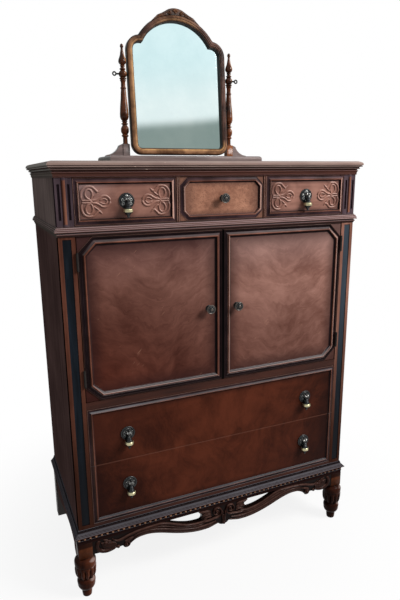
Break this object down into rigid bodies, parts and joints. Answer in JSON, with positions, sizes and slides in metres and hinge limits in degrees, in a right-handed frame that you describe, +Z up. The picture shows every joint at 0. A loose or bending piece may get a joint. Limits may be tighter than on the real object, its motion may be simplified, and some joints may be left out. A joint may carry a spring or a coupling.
{
  "type": "chest of drawers with cupboard and mirror",
  "caption": "Tall walnut chest with frieze drawers, a two-door cupboard, long drawers, turned legs and a tilting shaving mirror on top.",
  "frame": {"origin": "on the floor, under the middle of the whole part's box", "axes": "+Z up, the front with doors and drawers faces -Y, +X to the right of a person facing it"},
  "size_m": [0.95, 0.482, 1.7187],
  "materials": {
    "antique_brass": "antiqued, darkened in the hollows",
    "back_wood": "unfinished",
    "carved_walnut": "dark satin varnish, worn at the edges",
    "case_walnut": "dark satin varnish, worn at the edges",
    "dark_iron": "blackened",
    "dark_moulding": "dark satin varnish, worn at the edges",
    "door_veneer": "dark satin varnish, worn at the edges",
    "drawer_veneer": "dark satin varnish, worn at the edges",
    "ebonised_inlay": "satin, ebonised",
    "frieze_veneer": "dark satin varnish, worn at the edges",
    "hinge_steel": "dulled",
    "inner_wood": "unfinished",
    "mirror_walnut": "dark satin varnish, worn at the edges",
    "silvered_glass": "silvered plate with a bevelled edge",
    "speckled_veneer": "dark satin varnish, worn at the edges"
  },
  "bodies": {
    "case": {"front_stiles": "case_walnut", "stile_inlays": "ebonised_inlay", "side_panels": "case_walnut", "back_panel": "back_wood", "front_rails": "case_walnut", "dust_panels": "inner_wood", "frieze_partitions": "case_walnut", "cupboard_shelf": "inner_wood", "guides_and_cleats": "inner_wood", "base_moulding": "dark_moulding", "waist_moulding": "dark_moulding", "cornice_moulding": "dark_moulding", "top_board": "case_walnut", "front_legs": "carved_walnut", "rear_legs": "case_walnut", "front_apron": "carved_walnut", "side_aprons": "case_walnut", "hinge_leaves_and_pins": "hinge_steel", "mirror_platform": "case_walnut", "mirror_posts": "mirror_walnut"},
    "left_door": {"left_door_panel": "door_veneer", "left_door_moulding": "dark_moulding", "left_door_knob": "antique_brass", "left_door_hinge_leaves": "hinge_steel"},
    "right_door": {"right_door_panel": "door_veneer", "right_door_moulding": "dark_moulding", "right_door_knob": "antique_brass", "right_door_hinge_leaves": "hinge_steel"},
    "left_frieze_drawer": {"left_frieze_drawer_front": "frieze_veneer", "left_frieze_drawer_moulding": "dark_moulding", "left_frieze_drawer_box": "inner_wood", "left_frieze_pull_plate": "antique_brass"},
    "middle_frieze_drawer": {"middle_frieze_drawer_front": "speckled_veneer", "middle_frieze_drawer_moulding": "dark_moulding", "middle_frieze_drawer_box": "inner_wood", "middle_frieze_drawer_knob": "antique_brass"},
    "right_frieze_drawer": {"right_frieze_drawer_front": "frieze_veneer", "right_frieze_drawer_moulding": "dark_moulding", "right_frieze_drawer_box": "inner_wood", "right_frieze_pull_plate": "antique_brass"},
    "upper_long_drawer": {"upper_long_drawer_front": "drawer_veneer", "upper_long_drawer_moulding": "dark_moulding", "upper_long_drawer_box": "inner_wood", "upper_long_pull_plates": "antique_brass"},
    "lower_long_drawer": {"lower_long_drawer_front": "drawer_veneer", "lower_long_drawer_moulding": "dark_moulding", "lower_long_drawer_box": "inner_wood", "lower_long_pull_plates": "antique_brass"},
    "right_frieze_pull_drop": {"right_frieze_pull_drop": "antique_brass"},
    "left_frieze_pull_drop": {"left_frieze_pull_drop": "antique_brass"},
    "lower_long_left_pull_drop": {"lower_long_left_pull_drop": "antique_brass"},
    "lower_long_right_pull_drop": {"lower_long_right_pull_drop": "antique_brass"},
    "upper_long_left_pull_drop": {"upper_long_left_pull_drop": "antique_brass"},
    "upper_long_right_pull_drop": {"upper_long_right_pull_drop": "antique_brass"},
    "mirror": {"mirror_frame": "mirror_walnut", "mirror_crest": "mirror_walnut", "mirror_glass": "silvered_glass", "mirror_back": "back_wood"},
    "left_thumbscrew": {"left_thumbscrew": "dark_iron"},
    "right_thumbscrew": {"right_thumbscrew": "dark_iron"}
  },
  "joints": [
    {"name": "left_door_swing", "type": "hinge", "parent": "case", "child": "left_door", "pos_m": [-0.41275, -0.2216, 0.838], "axis": [0, 0, -1], "range_deg": [0, 105]},
    {"name": "right_door_swing", "type": "hinge", "parent": "case", "child": "right_door", "pos_m": [0.41275, -0.2216, 0.838], "axis": [0, 0, 1], "range_deg": [0, 105]},
    {"name": "left_frieze_drawer_slide", "type": "slide", "parent": "case", "child": "left_frieze_drawer", "axis": [0, -1, 0], "range_m": [0, 0.3]},
    {"name": "middle_frieze_drawer_slide", "type": "slide", "parent": "case", "child": "middle_frieze_drawer", "axis": [0, -1, 0], "range_m": [0, 0.3]},
    {"name": "right_frieze_drawer_slide", "type": "slide", "parent": "case", "child": "right_frieze_drawer", "axis": [0, -1, 0], "range_m": [0, 0.3]},
    {"name": "upper_long_drawer_slide", "type": "slide", "parent": "case", "child": "upper_long_drawer", "axis": [0, -1, 0], "range_m": [0, 0.3]},
    {"name": "lower_long_drawer_slide", "type": "slide", "parent": "case", "child": "lower_long_drawer", "axis": [0, -1, 0], "range_m": [0, 0.3]},
    {"name": "left_frieze_drop_swing", "type": "hinge", "parent": "left_frieze_drawer", "child": "left_frieze_pull_drop", "pos_m": [-0.2765, -0.2285, 1.155], "axis": [-1, 0, 0], "range_deg": [0, 80]},
    {"name": "right_frieze_drop_swing", "type": "hinge", "parent": "right_frieze_drawer", "child": "right_frieze_pull_drop", "pos_m": [0.2765, -0.2285, 1.155], "axis": [-1, 0, 0], "range_deg": [0, 80]},
    {"name": "upper_long_left_drop_swing", "type": "hinge", "parent": "upper_long_drawer", "child": "upper_long_left_pull_drop", "pos_m": [-0.301, -0.2285, 0.5045], "axis": [-1, 0, 0], "range_deg": [0, 80]},
    {"name": "upper_long_right_drop_swing", "type": "hinge", "parent": "upper_long_drawer", "child": "upper_long_right_pull_drop", "pos_m": [0.301, -0.2285, 0.5045], "axis": [-1, 0, 0], "range_deg": [0, 80]},
    {"name": "lower_long_left_drop_swing", "type": "hinge", "parent": "lower_long_drawer", "child": "lower_long_left_pull_drop", "pos_m": [-0.301, -0.2285, 0.3455], "axis": [-1, 0, 0], "range_deg": [0, 80]},
    {"name": "lower_long_right_drop_swing", "type": "hinge", "parent": "lower_long_drawer", "child": "lower_long_right_pull_drop", "pos_m": [0.301, -0.2285, 0.3455], "axis": [-1, 0, 0], "range_deg": [0, 80]},
    {"name": "mirror_tilt", "type": "hinge", "parent": "case", "child": "mirror", "pos_m": [0, 0.1085, 1.5145], "axis": [1, 0, 0], "range_deg": [-15, 20]},
    {"name": "left_thumbscrew_turn", "type": "hinge", "parent": "case", "child": "left_thumbscrew", "pos_m": [-0.1805, 0.1085, 1.5145], "axis": [1, 0, 0], "range_deg": [-170, 170]},
    {"name": "right_thumbscrew_turn", "type": "hinge", "parent": "case", "child": "right_thumbscrew", "pos_m": [0.1805, 0.1085, 1.5145], "axis": [1, 0, 0], "range_deg": [-170, 170]}
  ]
}
